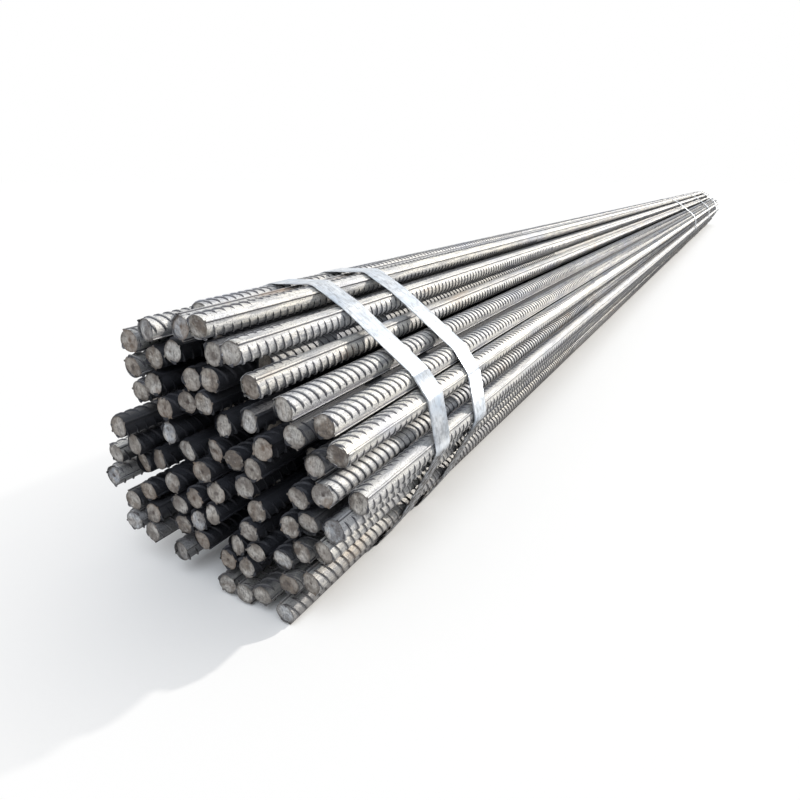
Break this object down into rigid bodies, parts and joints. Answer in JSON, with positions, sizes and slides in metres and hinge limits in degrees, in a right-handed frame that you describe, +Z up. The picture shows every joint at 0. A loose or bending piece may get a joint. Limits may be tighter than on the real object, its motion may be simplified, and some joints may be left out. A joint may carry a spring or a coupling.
{
  "type": "rebar bundle",
  "caption": "Bundle of straight crescent-ribbed steel reinforcing bars, held together by flat steel bands with lapped ends.",
  "frame": {"origin": "on the floor, under the middle of the bundle", "axes": "X across the bundle, +Y along the bars from the near end to the far end, +Z up"},
  "size_m": [0.3156, 6.095, 0.2923],
  "materials": {
    "bar_steel": "hot-rolled, grey mill scale with a dull shine",
    "band_steel": "bright cold-rolled strip"
  },
  "bodies": {
    "root": {"top_bars": "bar_steel", "right_bars": "bar_steel", "bottom_bars": "bar_steel", "left_bars": "bar_steel", "inner_bars": "bar_steel", "near_band": "band_steel", "second_band": "band_steel", "middle_band": "band_steel", "fourth_band": "band_steel", "far_band": "band_steel"}
  },
  "joints": []
}
